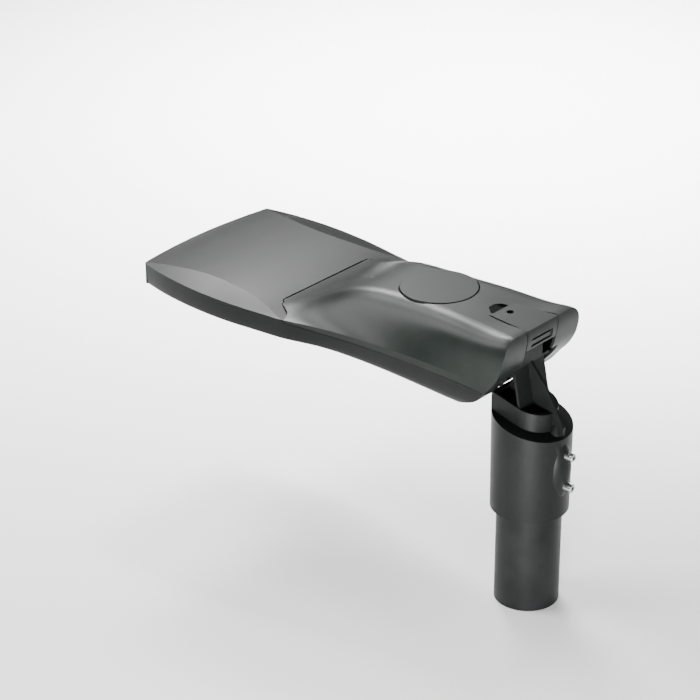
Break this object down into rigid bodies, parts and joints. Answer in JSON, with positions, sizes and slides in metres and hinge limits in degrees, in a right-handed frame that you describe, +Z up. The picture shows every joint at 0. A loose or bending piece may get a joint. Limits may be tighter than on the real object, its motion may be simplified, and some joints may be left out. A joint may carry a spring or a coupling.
{
  "type": "street light head on a pole spigot",
  "caption": "Slim LED road light head with an arched front slab, hinged rear gear cover and a tilting spigot bracket on the top of a round pole.",
  "frame": {"origin": "centre of the pole piece's lower end, on the pole's axis", "axes": "+Z up along the pole; the head points along -Y; x = 0 is the middle plane of the head"},
  "size_m": [0.2464, 0.574, 0.3562],
  "materials": {
    "powder_coat": "satin anthracite powder coat on cast aluminium",
    "pole_paint": "fine-grained anthracite paint",
    "steel": "stainless steel",
    "zinc_sheet": "galvanised sheet",
    "rubber": "matt silicone rubber",
    "glass": "clear toughened glass",
    "lens": "clear moulded lens plastic",
    "board": "white solder mask on an aluminium core",
    "led": "yellow phosphor",
    "cap": "satin anthracite plastic",
    "black_plastic": "matt black plastic",
    "driver_case": "white plastic case",
    "surge_case": "dark plastic case",
    "terminal": "light grey plastic"
  },
  "bodies": {
    "pole": {"pole_top_tube": "pole_paint"},
    "bracket": {"spigot_bracket": "powder_coat", "spigot_set_screws": "steel"},
    "cover": {"rear_cover": "powder_coat", "latch_pin": "steel", "control_socket": "black_plastic", "socket_screws": "steel"},
    "latch": {"latch_handle": "powder_coat", "latch_spring": "steel", "latch_lock_screw": "steel"},
    "cap": {"socket_cap": "cap", "cap_seal_ring": "rubber"},
    "head": {"tilt_bolt": "steel", "tilt_nut": "steel", "tilt_washers": "steel", "housing_body": "powder_coat", "cover_gasket": "rubber", "cover_hinge_pins": "steel", "gear_tray": "zinc_sheet", "tray_screws": "steel", "led_driver": "driver_case", "driver_screws": "steel", "surge_protector": "surge_case", "terminal_block": "terminal", "earth_screw": "steel", "cable_gland": "black_plastic", "gland_nut": "black_plastic", "breather_plug": "black_plastic", "led_board": "board", "leds": "led", "lens_plate": "lens", "board_screws": "steel", "glass_gasket": "rubber", "optic_glass": "glass", "glass_frame": "powder_coat", "frame_screws": "steel"}
  },
  "joints": [
    {"name": "aim", "type": "hinge", "parent": "pole", "child": "bracket", "pos_m": [0, 0, 0.122], "axis": [0, 0, 1], "range_deg": [-180, 180]},
    {"name": "tilt", "type": "hinge", "parent": "bracket", "child": "head", "pos_m": [0, -0.024, 0.314], "axis": [-1, 0, 0], "range_deg": [-5, 10]},
    {"name": "cover_open", "type": "hinge", "parent": "head", "child": "cover", "pos_m": [0, -0.3086, 0.30967], "axis": [1, 0, 0], "range_deg": [0, 60]},
    {"name": "latch_lift", "type": "hinge", "parent": "cover", "child": "latch", "pos_m": [0, -0.002, 0.3475], "axis": [-1, 0, 0], "range_deg": [0, 25], "stiffness_Nm_per_rad": 0.4, "springref_deg": -11.46},
    {"name": "cap_twist", "type": "hinge", "parent": "cover", "child": "cap", "pos_m": [0, -0.1378, 0.352], "axis": [0, 0, -1], "range_deg": [0, 35]}
  ]
}
